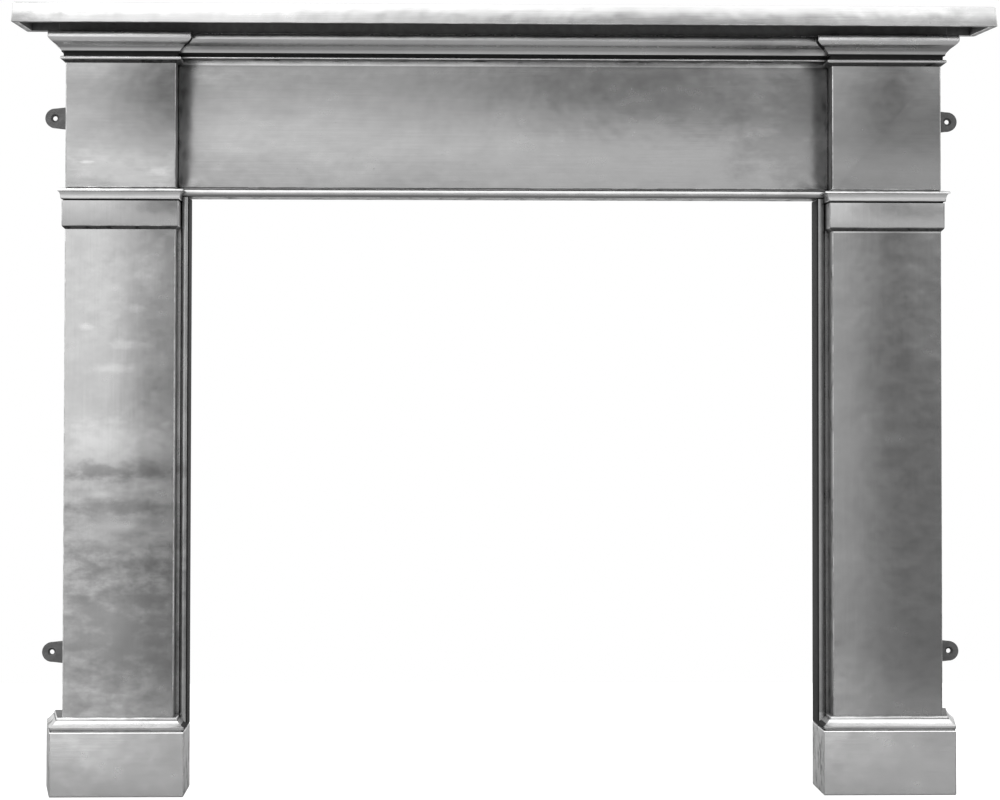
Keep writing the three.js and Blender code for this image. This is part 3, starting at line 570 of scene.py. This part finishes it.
# Heights that the painted light changes at, as the two ends of the change.
BASE_TOP = (0.109, 0.110)
BAND_FOOT = (0.787, 0.788)
CAP_FOOT = (0.829, 0.830)
BEAD_MIDDLE = (0.840, 0.845)
CORNICE_FOOT = (1.024, 1.026)
OGEE_LOW = (1.042, 1.045)
OGEE_HIGH = (1.050, 1.054)
# Painted shade and painted highlights up each piece: darker under the cornice and shelf, and
# lighter and darker bands on the ogee, bead, cap, band and base.
PAINTED_LIGHT_BANDS = {
    "frieze": (
        (BEAD_MIDDLE, 0.50, 1.00, WALL_PLANE),
        ((0.900, 1.010), 0.69, 0.38, WALL_PLANE),
        (CORNICE_FOOT, 1.00, 2.40, WALL_PLANE),
        (OGEE_LOW, 1.50, 1.00, WALL_PLANE),
        (OGEE_HIGH, 1.00, 1.30, WALL_PLANE),
    ),
    "left_block": (
        ((0.865, 1.010), 1.15, 0.68, WALL_PLANE),
        (CORNICE_FOOT, 1.00, 2.10, WALL_PLANE),
        (OGEE_LOW, 1.00, 0.46, WALL_PLANE),
        (OGEE_HIGH, 1.00, 2.30, WALL_PLANE),
    ),
    "right_block": (
        ((0.865, 0.930), 1.25, 0.90, WALL_PLANE),
        (CORNICE_FOOT, 1.00, 2.20, WALL_PLANE),
        (OGEE_LOW, 1.00, 0.50, WALL_PLANE),
        (OGEE_HIGH, 1.00, 2.40, WALL_PLANE),
    ),
    "left_leg": (
        (BASE_TOP, 1.10, 1.00, WALL_PLANE),
        ((0.120, 0.190), 1.15, 1.00, FACE_BACK),
        (CAP_FOOT, 1.00, 1.45, FACE_BACK),
    ),
    "right_leg": (
        (BASE_TOP, 1.60, 1.00, WALL_PLANE),
        ((0.120, 0.230), 1.50, 1.00, FACE_BACK),
        (BAND_FOOT, 1.00, 1.90, FACE_BACK),
        (CAP_FOOT, 1.00, 1.45, FACE_BACK),
    ),
}
# Painted reflections of clouds and painted shade on the polish, per piece.
PAINTED_LIGHT_PATCHES = {
    "mantel_shelf": ((-0.690, 1.085, 0.070, 0.060, 0.60), (0.690, 1.085, 0.120, 0.060, 0.78)),
    "frieze": ((0.430, 0.940, 0.110, 0.140, 0.76),),
    "left_leg": (
        (-0.494, 0.732, 0.022, 0.040, 1.22),
        (-0.560, 0.700, 0.030, 0.050, 1.10),
        (-0.522, 0.679, 0.014, 0.006, 1.18),
        (-0.585, 0.653, 0.012, 0.006, 1.18),
        (-0.522, 0.628, 0.028, 0.007, 1.18),
        (-0.545, 0.595, 0.032, 0.007, 1.18),
        (-0.538, 0.495, 0.110, 0.036, 1.25),
        (-0.538, 0.451, 0.110, 0.014, 0.62),
        (-0.563, 0.419, 0.020, 0.006, 1.25),
        (-0.494, 0.429, 0.020, 0.006, 1.25),
        (-0.538, 0.400, 0.110, 0.012, 0.72),
        (-0.538, 0.372, 0.130, 0.095, 0.76),
        (-0.535, 0.374, 0.044, 0.008, 1.25),
        (-0.535, 0.348, 0.022, 0.006, 1.25),
        (-0.538, 0.230, 0.160, 0.130, 0.62),
    ),
    "left_block": (
        (-0.538, 0.965, 0.070, 0.060, 0.92),
        (-0.538, 0.870, 0.110, 0.035, 1.25),
        (-0.586, 0.884, 0.012, 0.003, 1.3),
        (-0.485, 0.872, 0.020, 0.006, 1.25),
    ),
}


def dress_castings(raw):
    side = ground_iron("ground_iron_side", 0.56, 9.0)
    # Undersides and inward-looking sides take darker copies of the ground iron, and grooves and the
    # sides of the opening take black, all as painted shade.
    under = ground_iron("ground_iron_under_shade", 0.11, 12.0)
    groove = raw_iron("groove_skin_and_shade", 0.02, 13.0)
    inner = ground_iron("ground_iron_inner_shade", 0.20, 17.0)
    reveal = raw_iron("reveal_painted_shade", 0.014, 19.0, metallic=0.0, specular=0.05)
    for i, node in enumerate(CASTINGS):
        polished = polished_iron(
            f"polished_iron_{node}",
            GRAIN_UP if node.endswith("leg") else GRAIN_ACROSS,
            PAINTED_LIGHT_TONES[node],
            FIRST_SEED + SEED_STEP * i,
            PAINTED_LIGHT_BANDS.get(node, ()),
            PAINTED_LIGHT_PATCHES.get(node, ()),
        )
        arris = worn_and_highlit_iron(f"worn_and_highlit_iron_{node}", ARRIS_SHADE_TONES.get(node, ARRIS_TONE), 15.0)
        inward = (side, side) if node.endswith("plinth") else (inner, reveal)
        piece = casting(node)
        for material in (polished, raw, side, under, arris, groove, *inward):
            piece.data.materials.append(material)


def dress_lugs(raw):
    for node in LUGS:
        piece = casting(node)
        for slot in range(REVEAL + 1):
            piece.data.materials.append(raw)


def dress_fasteners():
    steel = plated_steel("fastener_steel", 4.0)
    for name, obj in frame["nodes"].items():
        if name not in CASTINGS and name not in LUGS:
            obj.data.materials.clear()
            obj.data.materials.append(steel)


# ---------------------------------------------------------------- the scene

camera()
world()
floor()
for lamp_settings in LAMPS:
    soft_box(*lamp_settings)
raw_skin = raw_iron("raw_iron", 0.14, 1.0)
dress_castings(raw_skin)
dress_lugs(raw_skin)
dress_fasteners()

bpy.context.scene.view_settings.view_transform = "Standard"
